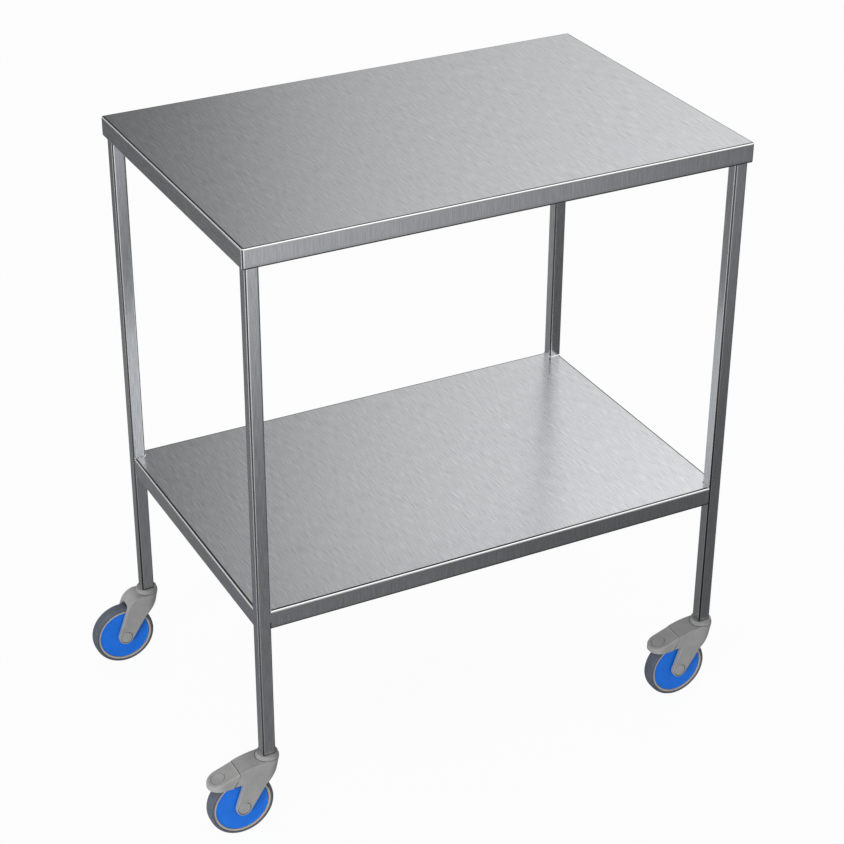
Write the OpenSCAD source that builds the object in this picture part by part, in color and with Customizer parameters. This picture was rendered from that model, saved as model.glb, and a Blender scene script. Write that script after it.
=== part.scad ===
// Dressing trolley: two folded steel trays on four square legs, each leg on a swivel caster.
// Millimetres, Z up, floor at z = 0. Legs and top are centred on Y; X is set so that the whole
// object, casters included, is centred on the origin.

/* [Top] */
// length of the top, along X
top_length = 776; // [700:1:860]
// width of the top, along Y
top_width = 508; // [460:1:560]
// height of the top face above the floor
overall_height = 929; // [860:1:1000]
// depth of the folded edge of the top
top_flange = 29.5; // [25:0.5:34]
// how far the lip under the folded edges turns inwards
return_lip = 12; // [9:0.5:14]
// sheet steel thickness of both trays
sheet = 1.2; // [1:0.1:1.5]
// outside radius of the folds of the top
top_bend = 2.5; // [2:0.1:5]

/* [Legs] */
// side of the square tube
tube_size = 20; // [18:0.5:25]
// wall of the square tube
tube_wall = 1.2; // [1:0.1:1.6]
// outside corner radius of the tube
tube_radius = 2.5; // [2:0.1:3]
// distance from the side of the top to the outer face of a leg
leg_inset = 5; // [3:0.5:10]

/* [Shelf] */
// height of the lower shelf's face above the floor
shelf_height = 371; // [300:0.5:460]
// depth of the folded edge of the shelf
shelf_flange = 29.5; // [22:0.5:34]
// outside radius of the folds of the shelf
shelf_bend = 4; // [2:0.1:5]
// how far the shelf's edges stand behind the outer faces of the legs
shelf_inset = 1; // [0.5:0.1:2]

/* [Stiffeners] */
// width of the raised part of the channels under the trays
channel_width = 40; // [30:1:60]
// depth of the channels under the trays
channel_depth = 15; // [10:0.5:17]
// distance of each channel from the long middle line
channel_offset = 120; // [80:1:150]

/* [Wheels] */
// tread diameter of the wheels
wheel_diameter = 100; // [94:1:112]
// width of the tyre
tyre_width = 21.5; // [18:0.5:22]
// thickness of the tyre over the rim
tyre_thickness = 5.3; // [4.8:0.1:6]
// width of the rim that shows between the tyre and the coloured cover
rim_ring = 3.3; // [2.7:0.1:5]

/* [Casters] */
// distance of the axle behind the swivel axis
trail = 45; // [41:0.5:50]
// height of the swivel head above the top of the wheel
head_height = 26.5; // [26.5:0.5:34]
// outside width of the plastic fork
fork_width = 36.8; // [35.6:0.2:40]
// radius of the round foot of the fork, about the axle
foot_radius = 12; // [11:0.5:14]
// radius of the wide lower part of the collar between fork and leg
collar_radius = 17.4; // [16.5:0.1:18]
// height of that collar
collar_height = 7.3; // [6:0.1:8]
// radius of the stem that goes up into the leg
stem_radius = 5; // [4:0.1:5.5]
// radius of the axle
axle_radius = 4; // [3:0.1:5]
// radius of the round cap over each end of the axle
cap_radius = 9.4; // [8:0.1:9.6]

/* [Brake] */
// how far the pedal turns before the pad reaches the tyre, in degrees
brake_travel = 8; // [4:0.5:9]
// width of the brake pad
pad_width = 18; // [12:0.5:20]
// length of the brake pad
pad_length = 8; // [6:0.5:10]

/* [Clearances] */
// gap on the radius where one part turns in another
running_gap = 0.05; // [0.03:0.01:0.1]
// gap between the collar and the fork that swivels under it
swivel_gap = 0.4; // [0.3:0.1:0.8]
// gap beside the tyre, on each side
tyre_gap = 0.7; // [0.6:0.1:1.2]
// gap over the tread, inside the fork
tread_gap = 5; // [4:0.5:5.5]
// gap between pedal and fork
pedal_gap = 0.8; // [0.7:0.1:1.2]
// gap between the pressed brake pad and the tread
pad_gap = 0.3; // [0.2:0.1:0.6]
// gap around the axle cap
cap_gap = 0.35; // [0.3:0.05:0.6]

/* [Hidden] */
$fn = 72;

// where the legs and swivel axes stand, from the middle of the top
leg_x = top_length / 2 - leg_inset - tube_size / 2;
leg_y = top_width / 2 - leg_inset - tube_size / 2;
shelf_length = top_length - 2 * leg_inset - 2 * shelf_inset;
shelf_width = top_width - 2 * leg_inset - 2 * shelf_inset;
wheel_radius = wheel_diameter / 2;
rim_radius = wheel_radius - tyre_thickness;
cover_radius = rim_radius - rim_ring;

// heights
caster_height = wheel_diameter + head_height;
seat_z = caster_height - collar_height - swivel_gap;
crown_z = seat_z + 1.8;
tray_underside = overall_height - sheet;
shelf_underside = shelf_height - sheet;

// fork, seen from the side: x from the swivel axis, second value is the height above the floor
half_width = fork_width / 2;
half_gap = tyre_width / 2 + tyre_gap;
axle_point = [-trail, wheel_radius];
skirt_z = wheel_diameter - 8;
leg_corner = [1.3 - trail, skirt_z];
crown_arc = 142;
crown_skirt = 12;
split_foot = 18.5;
crown_centre = [-4.6, crown_z - crown_arc];
hood_arc = 26.5;
hood_edge = hood_arc + 0.05;
hood_centre = [31 - trail, seat_z - hood_edge];
front_top_x = -1.3;
front_lean = 12.5;
front_foot_z = seat_z - 36.8;
under_slope = 38;
leg_lean = 33.7;
seat_recess = collar_radius + 1;

// all casters trail to the left, so the top stands this far right of the object's middle
front_reach = max(collar_radius, front_top_x + half_width / cos(front_lean));
shift_x = (trail + wheel_radius - front_reach) / 2;

// collar: a wide lower part, a slope, and a narrower upper part
collar_step = 1.5;
collar_bevel = 0.8;

// wheel well: a rounded disc round the axle
well_radius = wheel_radius + tread_gap;
well_round = 6;

// swivel bearing
bushing_wall = 3.5;
pocket_depth = 18.8;
head_gap = 0.4;
head_rim = 2;
stem_head = 2.2;
plug_length = 40;
stem_reach = 34;
pocket_radius = stem_radius + bushing_wall;
pocket_floor = seat_z - pocket_depth;
stem_base = pocket_floor + head_gap;
bushing_floor = stem_base + stem_head + head_gap;

// axle, caps and bearings
cap_depth = 2.4;
sleeve_radius = axle_radius + 2;
bearing_radius = axle_radius + 7;
bearing_out = 7.6;
bearing_width = 6;
hub_radius = bearing_radius + 3;
cover_out = 9.8;
cover_sheet = 1.4;
cover_dish = 0.8;
cover_rim = 4;
rim_out = 9.6;
rim_lip = 2.6;
rim_depth = 7;
web_half = 2;

// tyre section
tread_drop = 2.2;
tread_arc = (pow(tyre_width / 2, 2) + tread_drop * tread_drop) / (2 * tread_drop);
tyre_groove = 1.7;

// pedal, from the axle point and the top of the wheel
pedal_split = [-4.5 - trail, wheel_diameter + 13.3];
pedal_nose = [0.7 - wheel_radius - trail, wheel_diameter - 1.6];
pedal_arc = 35.9;
pedal_arc_back = 39.9;
pedal_arc_rise = 19.1;
pedal_centre = [-pedal_arc_back - trail, wheel_diameter + pedal_arc_rise];
pedal_pivot = [-17 - trail, wheel_diameter - 4];
pedal_shell = 2.5;
pedal_top = 3;
ear_radius = 4;
ear_out = half_width - pedal_shell - 0.4;
pin_radius = 2;
pin_end = half_width - 1.1;
pedal_slope = atan((pedal_split[1] - pedal_nose[1]) / (pedal_split[0] - pedal_nose[0]));
grip_radius = 11;
grip_depth = 0.6;
grip_x = -33 - trail;
pad_x = -27 - trail;

// a point on the round of radius r about c where the straight line from p touches it
function touch(c, r, p, side) =
    let (d = p - c, far = norm(d), a = atan2(d[1], d[0]) + side * acos(r / far))
    c + r * [cos(a), sin(a)];

// the height of the pedal's top at x
function pedal_line(x) = pedal_nose[1] + (x - pedal_nose[0]) * tan(pedal_slope);

// SHARED SHAPES

module soft_rect(a, b, r) {
    square([a - 2 * r, b], center = true);
    square([a, b - 2 * r], center = true);
    for (i = [-1, 1], j = [-1, 1])
        translate([i * (a / 2 - r), j * (b / 2 - r)]) circle(r);
}

// a box from z = 0 up whose edges are all rounded
module soft_box(l, w, h, r) {
    intersection() {
        linear_extrude(h) soft_rect(l, w, r);
        translate([0, w / 2, h / 2]) rotate([90, 0, 0]) linear_extrude(w) soft_rect(l, h, r);
        translate([-l / 2, 0, h / 2]) rotate([90, 0, 90]) linear_extrude(l) soft_rect(w, h, r);
    }
}

// a sheet folded down on four sides and in again under them; its face is at z = depth
module folded_tray(l, w, depth, bend) {
    difference() {
        soft_box(l, w, depth, bend);
        translate([0, 0, sheet])
            soft_box(l - 2 * sheet, w - 2 * sheet, depth - 2 * sheet, bend - sheet);
        translate([0, 0, sheet])
            cube([l - 2 * return_lip, w - 2 * return_lip, 4 * sheet], center = true);
    }
}

// a channel with two flat feet, open side up, its feet reaching z = 0
module channel(length) {
    half = channel_width / 2;
    foot = 12;
    rotate([90, 0, 90]) translate([0, 0, -length / 2]) linear_extrude(length) {
        translate([-half, -channel_depth]) square([channel_width, sheet]);
        for (side = [-1, 1]) {
            translate([side * (half - sheet / 2) - sheet / 2, -channel_depth])
                square([sheet, channel_depth]);
            translate([side * (half + foot / 2) - foot / 2 - side * sheet / 2, -sheet])
                square([foot, sheet]);
        }
    }
}

// moves a caster or leg drawn about the swivel axis to its corner
module corner(i, j) {
    translate([shift_x + i * leg_x, j * leg_y, 0]) children();
}

// turns something drawn about Z so that it lies on the axle
module on_axle() {
    translate([axle_point[0], 0, axle_point[1]]) rotate([90, 0, 0]) children();
}

// extrudes a side view over y = -half .. half
module side_slab(half) {
    translate([0, half, 0]) rotate([90, 0, 0]) linear_extrude(2 * half) children();
}

// FRAME

module top_tray() {
    leg_room = leg_inset + tube_size + 4;
    from_edge = top_bend + sheet / 2 + leg_room / 2;
    color("silver") translate([shift_x, 0, overall_height - top_flange]) difference() {
        folded_tray(top_length, top_width, top_flange, top_bend);
        for (i = [-1, 1], j = [-1, 1])
            translate([i * (top_length / 2 - from_edge), j * (top_width / 2 - from_edge), 0])
                cube([leg_room, leg_room, 4 * sheet], center = true);
    }
}

module top_stiffeners() {
    length = top_length - 2 * (leg_inset + tube_size + 10);
    color("silver") for (j = [-1, 1])
        translate([shift_x, j * channel_offset, tray_underside]) channel(length);
}

module lower_shelf() {
    color("silver") translate([shift_x, 0, shelf_height - shelf_flange]) difference() {
        folded_tray(shelf_length, shelf_width, shelf_flange, shelf_bend);
        for (i = [-1, 1], j = [-1, 1])
            translate([i * leg_x, j * leg_y, 0])
                cube([tube_size, tube_size, 4 * shelf_flange], center = true);
    }
}

module shelf_stiffeners() {
    length = top_length - 2 * (leg_inset + tube_size + 10);
    color("silver") for (j = [-1, 1])
        translate([shift_x, j * channel_offset, shelf_underside]) channel(length);
}

module leg(i, j) {
    inside = tube_size - 2 * tube_wall;
    color("silver") corner(i, j) translate([0, 0, caster_height])
        linear_extrude(tray_underside - caster_height) difference() {
            soft_rect(tube_size, tube_size, tube_radius);
            soft_rect(inside, inside, tube_radius - tube_wall);
        }
}

module leg_front_left() { leg(-1, -1); }
module leg_front_right() { leg(1, -1); }
module leg_back_left() { leg(-1, 1); }
module leg_back_right() { leg(1, 1); }

module leg_plugs() {
    inside = tube_size - 2 * tube_wall;
    color("dimgray") for (i = [-1, 1], j = [-1, 1])
        corner(i, j) translate([0, 0, caster_height]) linear_extrude(plug_length) difference() {
            soft_rect(inside, inside, tube_radius - tube_wall);
            circle(stem_radius);
        }
}

// STEMS AND COLLARS, FIXED TO THE LEGS

module stems() {
    color("gray") for (i = [-1, 1], j = [-1, 1]) corner(i, j) {
        translate([0, 0, stem_base]) cylinder(stem_head, r = stem_radius + head_rim);
        translate([0, 0, stem_base])
            cylinder(caster_height + stem_reach - stem_base, r = stem_radius);
    }
}

module collar(i, j) {
    base = seat_z + swivel_gap;
    upper_radius = collar_radius - collar_step;
    color("darkgray") corner(i, j) rotate_extrude() polygon([
        [stem_radius, base], [collar_radius, base], [collar_radius, base + 0.3 * collar_height],
        [upper_radius, base + 0.55 * collar_height], [upper_radius, caster_height - collar_bevel],
        [upper_radius - collar_bevel, caster_height], [stem_radius, caster_height]]);
}

module collar_front_left() { collar(-1, -1); }
module collar_front_right() { collar(1, -1); }
module collar_back_left() { collar(-1, 1); }
module collar_back_right() { collar(1, 1); }

// FORKS

// a fork's side view without its round foot: from the axle up the left_points to the front
module fork_side(left_points) {
    right = axle_point + foot_radius * [cos(leg_lean), -sin(leg_lean)];
    front = right + [tan(leg_lean), 1] * (front_foot_z - right[1]);
    beyond = collar_radius + 6;
    polygon(concat([axle_point], left_points, [[beyond, seat_z],
        front + (beyond - front[0]) * [1, tan(under_slope)], front, right]));
}

module braked_side() {
    left = touch(axle_point, foot_radius, leg_corner, 1);
    difference() {
        intersection() {
            union() {
                fork_side([left, leg_corner, [leg_corner[0], seat_z]]);
                translate([pedal_split[0] - crown_skirt, skirt_z])
                    square([wheel_radius, 0.4 * wheel_diameter]);
            }
            translate(crown_centre) circle(crown_arc, $fn = 300);
        }
        translate(pedal_centre) circle(pedal_arc + pedal_gap);
        translate([pedal_split[0] - wheel_radius, skirt_z + split_foot])
            square([wheel_radius + pedal_gap / 2, wheel_radius]);
    }
}

// the free fork has a round hood; its corners stand just outside the hood's arc
module free_side() {
    along = hood_centre - axle_point;
    lean = atan2(along[1], along[0]) + 90 + asin((hood_edge - foot_radius) / norm(along));
    way = [cos(lean), sin(lean)];
    fork_side([axle_point + foot_radius * way, hood_centre + hood_edge * way,
        hood_centre + [0, hood_edge]]);
    intersection() {
        translate(hood_centre) circle(hood_arc);
        translate(hood_centre - [2 * hood_arc, 2]) square(2 * hood_arc + 2);
    }
}

// everything behind the round front of a fork, which leans back
module leaning_front() {
    down = 1.1 * wheel_diameter;
    long = 1.6 * wheel_diameter;
    translate([front_top_x, 0, seat_z]) rotate([0, front_lean, 0]) {
        translate([0, 0, -down]) cylinder(long, r = half_width);
        translate([-1.5 * wheel_diameter, -half_width, -down])
            cube([1.5 * wheel_diameter, fork_width, long]);
    }
}

module fork_body() {
    difference() {
        intersection() {
            union() {
                side_slab(half_width) children();
                on_axle() cylinder(fork_width, r = foot_radius, center = true);
            }
            leaning_front();
        }
        // room for the wheel, which is a disc with a rounded edge
        on_axle() rotate_extrude() {
            square([well_radius - well_round, half_gap]);
            translate([0, -half_gap]) square([well_radius - well_round, half_gap]);
            translate([0, well_round - half_gap])
                square([well_radius, 2 * half_gap - 2 * well_round]);
            for (side = [-1, 1])
                translate([well_radius - well_round, side * (half_gap - well_round)])
                    intersection() {
                        circle(well_round);
                        translate([0, -well_round]) square([well_round, 2 * well_round]);
                    }
        }
        // seat of the collar and pocket of the swivel bearing
        translate([0, 0, seat_z]) cylinder(20, r = seat_recess);
        translate([0, 0, pocket_floor]) cylinder(30, r = pocket_radius);
        // axle hole and the recesses of its caps
        on_axle() cylinder(2 * fork_width, r = axle_radius, center = true);
        for (side = [-1, 1])
            on_axle() translate([0, 0, side * half_width])
                cylinder(2 * cap_depth, r = cap_radius + cap_gap, center = true);
    }
}

module fork_braked(i, j) {
    color("lightgray") corner(i, j) {
        difference() {
            union() {
                fork_body() braked_side();
                // ears that carry the pedal's pins, inside its skirts
                for (side = [-1, 1])
                    translate([0, side * (half_gap + ear_out) / 2, 0])
                        side_slab((ear_out - half_gap) / 2) {
                            translate(pedal_pivot) circle(ear_radius);
                            translate([pedal_pivot[0], skirt_z])
                                square([2.2 * ear_radius, 2 * ear_radius]);
                        }
            }
            translate([pedal_pivot[0], 0, pedal_pivot[1]]) rotate([90, 0, 0])
                cylinder(2 * fork_width, r = pin_radius, center = true);
        }
    }
}

module fork_free(i, j) {
    color("lightgray") corner(i, j) fork_body() free_side();
}

module fork_front_left() { fork_braked(-1, -1); }
module fork_front_right() { fork_braked(1, -1); }
module fork_back_left() { fork_free(-1, 1); }
module fork_back_right() { fork_free(1, 1); }

module bushing(i, j) {
    color("white") corner(i, j) translate([0, 0, bushing_floor]) difference() {
        cylinder(seat_z - bushing_floor, r = pocket_radius);
        translate([0, 0, -1]) cylinder(seat_z, r = stem_radius + running_gap);
    }
}

module bushing_front_left() { bushing(-1, -1); }
module bushing_front_right() { bushing(1, -1); }
module bushing_back_left() { bushing(-1, 1); }
module bushing_back_right() { bushing(1, 1); }

// AXLES

module axle(i, j) {
    color("gray") corner(i, j) on_axle()
        cylinder(2 * (half_width - cap_depth), r = axle_radius, center = true);
}

module axle_front_left() { axle(-1, -1); }
module axle_front_right() { axle(1, -1); }
module axle_back_left() { axle(-1, 1); }
module axle_back_right() { axle(1, 1); }

// short tubes on the axle that keep the wheel in the middle of the fork
module sleeves(i, j) {
    start = bearing_out + running_gap;
    color("gray") corner(i, j) on_axle() for (side = [-1, 1])
        translate([0, 0, side * (start + half_gap) / 2]) difference() {
            cylinder(half_gap - start, r = sleeve_radius, center = true);
            cylinder(half_gap, r = axle_radius, center = true);
        }
}

module sleeves_front_left() { sleeves(-1, -1); }
module sleeves_front_right() { sleeves(1, -1); }
module sleeves_back_left() { sleeves(-1, 1); }
module sleeves_back_right() { sleeves(1, 1); }

module caps(i, j) {
    color("darkgray") corner(i, j) on_axle() for (side = [-1, 1])
        translate([0, 0, side * (half_width - cap_depth / 2)])
            cylinder(cap_depth, r = cap_radius, center = true);
}

module caps_front_left() { caps(-1, -1); }
module caps_front_right() { caps(1, -1); }
module caps_back_left() { caps(-1, 1); }
module caps_back_right() { caps(1, 1); }

// WHEELS

module wheel_core(i, j) {
    inner = bearing_out - bearing_width;
    seat = cover_out - cover_dish - cover_sheet;
    color("tan") corner(i, j) on_axle() difference() {
        rotate_extrude() {
            translate([axle_radius + 1, -seat]) square([hub_radius - axle_radius - 1, 2 * seat]);
            translate([hub_radius - 1, -web_half])
                square([rim_radius - rim_depth - hub_radius + 2, 2 * web_half]);
            translate([rim_radius - rim_depth, -seat]) square([rim_depth - tyre_groove, 2 * seat]);
            for (side = [-1, 1])
                translate([cover_radius, side * (rim_out - rim_lip / 2) - rim_lip / 2])
                    square([rim_radius - cover_radius, rim_lip]);
        }
        for (side = [-1, 1])
            translate([0, 0, side * (inner + 10)]) cylinder(20, r = bearing_radius, center = true);
    }
}

module wheel_core_front_left() { wheel_core(-1, -1); }
module wheel_core_front_right() { wheel_core(1, -1); }
module wheel_core_back_left() { wheel_core(-1, 1); }
module wheel_core_back_right() { wheel_core(1, 1); }

module tyre(i, j) {
    color("slategray") corner(i, j) on_axle() rotate_extrude() difference() {
        intersection() {
            translate([wheel_radius - tread_arc, 0]) circle(tread_arc, $fn = 200);
            translate([rim_radius - tyre_groove, -tyre_width / 2]) square([20, tyre_width]);
        }
        for (side = [-1, 1])
            translate([rim_radius - 10, side * (rim_out - rim_lip + 5) - 5]) square([10, 10]);
    }
}

module tyre_front_left() { tyre(-1, -1); }
module tyre_front_right() { tyre(1, -1); }
module tyre_back_left() { tyre(-1, 1); }
module tyre_back_right() { tyre(1, 1); }

// thin discs that close the wheel on both sides, sunk a little towards the middle
module covers(i, j) {
    flat = cover_out - cover_dish;
    edge = cover_radius - 0.1;
    color("royalblue") corner(i, j) on_axle() for (side = [0, 1])
        mirror([0, 0, side]) rotate_extrude() polygon([
            [sleeve_radius + 0.6, flat - cover_sheet], [edge - cover_rim, flat - cover_sheet],
            [edge, cover_out - cover_sheet], [edge, cover_out], [edge - cover_rim, flat],
            [sleeve_radius + 0.6, flat]]);
}

module covers_front_left() { covers(-1, -1); }
module covers_front_right() { covers(1, -1); }
module covers_back_left() { covers(-1, 1); }
module covers_back_right() { covers(1, 1); }

module bearings(i, j) {
    color("lightsteelblue") corner(i, j) on_axle() for (side = [-1, 1])
        translate([0, 0, side * (bearing_out - bearing_width / 2)]) difference() {
            cylinder(bearing_width, r = bearing_radius, center = true);
            cylinder(2 * bearing_width, r = axle_radius + running_gap, center = true);
        }
}

module bearings_front_left() { bearings(-1, -1); }
module bearings_front_right() { bearings(1, -1); }
module bearings_back_left() { bearings(-1, 1); }
module bearings_back_right() { bearings(1, 1); }

// BRAKE PEDALS

// the side view of a pedal; drop moves its top line down and inset moves its ends in
module pedal_side(drop, inset) {
    start = pedal_nose[0] + inset;
    intersection() {
        translate(pedal_centre) circle(pedal_arc);
        polygon([[start, skirt_z - drop], [start, pedal_line(start) - drop],
            [pedal_split[0] - pedal_gap / 2, pedal_line(pedal_split[0] - pedal_gap / 2) - drop],
            [pedal_split[0] - pedal_gap / 2, skirt_z - drop]]);
    }
}

module pedal_plan(inset) {
    round_x = pedal_nose[0] + half_width;
    translate([round_x, 0, 0]) cylinder(2 * wheel_diameter, r = half_width - inset);
    translate([round_x, inset - half_width, 0])
        cube([trail + wheel_radius, fork_width - 2 * inset, 2 * wheel_diameter]);
}

module pedal(i, j) {
    color("lightgray") corner(i, j) difference() {
        intersection() {
            side_slab(half_width) pedal_side(0, 0);
            pedal_plan(0);
        }
        // open underneath and towards the fork
        intersection() {
            side_slab(half_width) polygon([[pedal_nose[0], skirt_z - 5],
                [pedal_nose[0], pedal_nose[1] - pedal_top],
                [pedal_split[0] + 5, pedal_line(pedal_split[0] + 5) - pedal_top],
                [pedal_split[0] + 5, skirt_z - 5]]);
            pedal_plan(pedal_shell);
        }
        // shallow grip for the foot
        translate([grip_x, 0, pedal_line(grip_x)]) rotate([0, -pedal_slope, 0])
            cylinder(2 * grip_depth, r = grip_radius, center = true);
        // blind holes that turn on the pins
        translate([pedal_pivot[0], 0, pedal_pivot[1]]) rotate([90, 0, 0])
            cylinder(2 * pin_end + 0.4, r = pin_radius + running_gap, center = true);
    }
}

module pedal_front_left() { pedal(-1, -1); }
module pedal_front_right() { pedal(1, -1); }

module pedal_pins(i, j) {
    color("gray") corner(i, j) for (side = [-1, 1])
        translate([pedal_pivot[0], side * (half_gap + pin_end) / 2, pedal_pivot[1]])
            rotate([90, 0, 0]) cylinder(pin_end - half_gap, r = pin_radius, center = true);
}

module pedal_pins_front_left() { pedal_pins(-1, -1); }
module pedal_pins_front_right() { pedal_pins(1, -1); }

// the pad under the pedal; its lower face fits the tread when the pedal is fully down
module pad(i, j) {
    low = wheel_diameter - 30;
    start = pad_x - pad_length / 2;
    end = pad_x + pad_length / 2;
    color("dimgray") corner(i, j) difference() {
        side_slab(pad_width / 2) polygon([[start, low], [end, low],
            [end, pedal_line(end) - pedal_top], [start, pedal_line(start) - pedal_top]]);
        translate([pedal_pivot[0], 0, pedal_pivot[1]]) rotate([0, brake_travel, 0])
            translate([-pedal_pivot[0], 0, -pedal_pivot[1]]) on_axle()
                cylinder(2 * pad_width, r = wheel_radius + pad_gap, center = true);
    }
}

module pad_front_left() { pad(-1, -1); }
module pad_front_right() { pad(1, -1); }

top_tray();
top_stiffeners();
lower_shelf();
shelf_stiffeners();
leg_front_left();
leg_front_right();
leg_back_left();
leg_back_right();
leg_plugs();
stems();
collar_front_left();
collar_front_right();
collar_back_left();
collar_back_right();
fork_front_left();
fork_front_right();
fork_back_left();
fork_back_right();
bushing_front_left();
bushing_front_right();
bushing_back_left();
bushing_back_right();
axle_front_left();
axle_front_right();
axle_back_left();
axle_back_right();
sleeves_front_left();
sleeves_front_right();
sleeves_back_left();
sleeves_back_right();
caps_front_left();
caps_front_right();
caps_back_left();
caps_back_right();
wheel_core_front_left();
wheel_core_front_right();
wheel_core_back_left();
wheel_core_back_right();
tyre_front_left();
tyre_front_right();
tyre_back_left();
tyre_back_right();
covers_front_left();
covers_front_right();
covers_back_left();
covers_back_right();
bearings_front_left();
bearings_front_right();
bearings_back_left();
bearings_back_right();
pedal_front_left();
pedal_front_right();
pedal_pins_front_left();
pedal_pins_front_right();
pad_front_left();
pad_front_right();
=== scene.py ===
import math

import bmesh
import bpy
import numpy as np
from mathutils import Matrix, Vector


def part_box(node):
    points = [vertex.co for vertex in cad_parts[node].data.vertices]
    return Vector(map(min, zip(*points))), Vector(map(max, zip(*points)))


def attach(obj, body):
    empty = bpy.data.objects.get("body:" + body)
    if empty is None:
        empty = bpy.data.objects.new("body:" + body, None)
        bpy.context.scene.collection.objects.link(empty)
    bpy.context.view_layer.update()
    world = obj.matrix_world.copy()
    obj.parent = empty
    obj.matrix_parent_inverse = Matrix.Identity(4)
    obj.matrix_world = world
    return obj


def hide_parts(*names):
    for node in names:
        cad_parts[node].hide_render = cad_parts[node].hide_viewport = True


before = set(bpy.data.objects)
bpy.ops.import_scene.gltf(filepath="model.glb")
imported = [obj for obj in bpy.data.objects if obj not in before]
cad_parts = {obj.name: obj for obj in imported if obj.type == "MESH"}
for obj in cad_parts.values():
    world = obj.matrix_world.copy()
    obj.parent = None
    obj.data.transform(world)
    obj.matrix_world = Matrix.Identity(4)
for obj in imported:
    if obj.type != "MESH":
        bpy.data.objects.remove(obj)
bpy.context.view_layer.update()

# Camera: it stands in front of the trolley's left end, well above the top, and looks 30 degrees
# down. Its place and lens were solved from the straight edges and the wheels in the photograph.
camera_data = bpy.data.cameras.new("camera")
camera_data.sensor_width = 36
camera_data.lens = 93.04
camera_data.shift_x = 0.0277
camera_data.shift_y = 0.0032
camera_data.clip_end = 60
camera = bpy.data.objects.new("camera", camera_data)
camera.location = (-1.29667, -2.5533, 2.0853)
camera.rotation_euler = (math.radians(60.41), 0, math.radians(-26.92))
bpy.context.scene.collection.objects.link(camera)
bpy.context.scene.camera = camera
bpy.context.scene.view_settings.view_transform = "Standard"


# Studio: a white floor that keeps a little of the trolley's shadow, a white surround for the camera,
# an even sky and a soft box on the left for the plastics, and for the bright metal a sky of its own
# with a dark screen behind the trolley.
class Shade:
    """A value, colour or shader in a material. Arithmetic on it adds Math nodes."""

    def __init__(self, tree, socket=None):
        self.tree = tree
        self.socket = socket

    def make(self, kind, settings=None, sockets=None, out=0):
        """Adds a node of one type: its settings first, then the values or links of its sockets."""
        node = self.tree.nodes.new(kind)
        for key, value in (settings or {}).items():
            if key == "stops":
                ramp = node.color_ramp
                while len(ramp.elements) < len(value):
                    ramp.elements.new(1)
                for element, (place, level) in zip(ramp.elements, value):
                    element.position = place
                    element.color = (level, level, level, 1)
            else:
                setattr(node, key, value)
        self.feed(node, sockets or {})
        return Shade(self.tree, node.outputs[out] if node.outputs else None)

    def feed(self, node, sockets):
        """Gives a node's sockets, by name or by place, their values or links."""
        for key, value in sockets.items():
            if isinstance(value, Shade):
                self.tree.links.new(value.socket, node.inputs[key])
            else:
                node.inputs[key].default_value = value

    def work(self, operation, *values, clamp=False):
        """A Math node; with clamp its result stays between 0 and 1."""
        settings = {"operation": operation, "use_clamp": clamp}
        return self.make("ShaderNodeMath", settings, dict(enumerate(values)))

    def parts(self):
        """The x, y and z of a vector."""
        split = self.make("ShaderNodeSeparateXYZ", None, {0: self}).socket.node
        return [Shade(self.tree, socket) for socket in split.outputs]

    def smooth(self, low, high):
        """Rises smoothly from 0 where this value is low to 1 where it is high."""
        settings = {"interpolation_type": "SMOOTHSTEP"}
        return self.make("ShaderNodeMapRange", settings, {0: self, 1: low, 2: high})

    def blend(self, first, second):
        """The first colour where this value is 0, the second where it is 1."""
        settings = {"data_type": "RGBA", "clamp_factor": True}
        return self.make("ShaderNodeMix", settings, {0: self, 6: first, 7: second}, 2)

    def __add__(self, other):
        return self.work("ADD", self, other)

    def __sub__(self, other):
        return self.work("SUBTRACT", self, other)

    def __rsub__(self, other):
        return self.work("SUBTRACT", other, self)

    def __mul__(self, other):
        return self.work("MULTIPLY", self, other)

    def __truediv__(self, other):
        return self.work("DIVIDE", self, other)

    __radd__ = __add__
    __rmul__ = __mul__


def light_paths(shade):
    """Whether light reaches the camera straight, by way of the metal or through something clear."""
    path = shade.make("ShaderNodeLightPath").socket.node
    kinds = ("Camera", "Glossy", "Transmission")
    return [Shade(shade.tree, path.outputs[f"Is {kind} Ray"]) for kind in kinds]


even_sky = 0.63
sky_foot = 0.54
sky_rise = 1.26

world = bpy.data.worlds.new("studio")
bpy.context.scene.world = world
world.use_nodes = True
world.node_tree.nodes.clear()
sky = Shade(world.node_tree)
camera_ray, glossy_ray, clear_ray = light_paths(sky)
sky_x, sky_y, sky_z = sky.make("ShaderNodeTexCoord", out="Generated").parts()
# the screen stands from 7 degrees left to 17 degrees right of straight back; the sky just left of
# it is bright, which shows as a light line in the folds of the left edges
bearing = sky.work("ARCTAN2", sky_x, sky_y) / (2 * math.pi) + 0.5
height = sky.work("ARCSINE", sky_z)
screen_stops = [
    (0.0, 0.8), (0.25, 0.85), (0.42, 0.7), (0.45, 0.9), (0.48, 0.1), (0.547, 0.09), (0.558, 0.19),
    (0.566, 0.48), (0.583, 0.68), (0.603, 0.88), (0.65, 1.0), (0.85, 0.95), (1.0, 0.8)]
screen = bearing.make("ShaderNodeValToRGB", {"stops": screen_stops}, {0: bearing})
metal_sky = screen * (sky_foot + sky_rise * height)
white_share = sky.work("ADD", camera_ray, clear_ray, clamp=True)
unseen_sky = glossy_ray * metal_sky + (1 - glossy_ray) * even_sky
sky_level = white_share + (1 - white_share) * unseen_sky
backdrop = sky.make("ShaderNodeBackground", None, {"Color": (1, 1, 1, 1), "Strength": sky_level})
sky.make("ShaderNodeOutputWorld", None, {"Surface": backdrop})


def new_material(name):
    """A material with its surface node and a starting point for its other nodes."""
    material = bpy.data.materials.new(name)
    material.use_nodes = True
    return material, Shade(material.node_tree), material.node_tree.nodes["Principled BSDF"]


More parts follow.
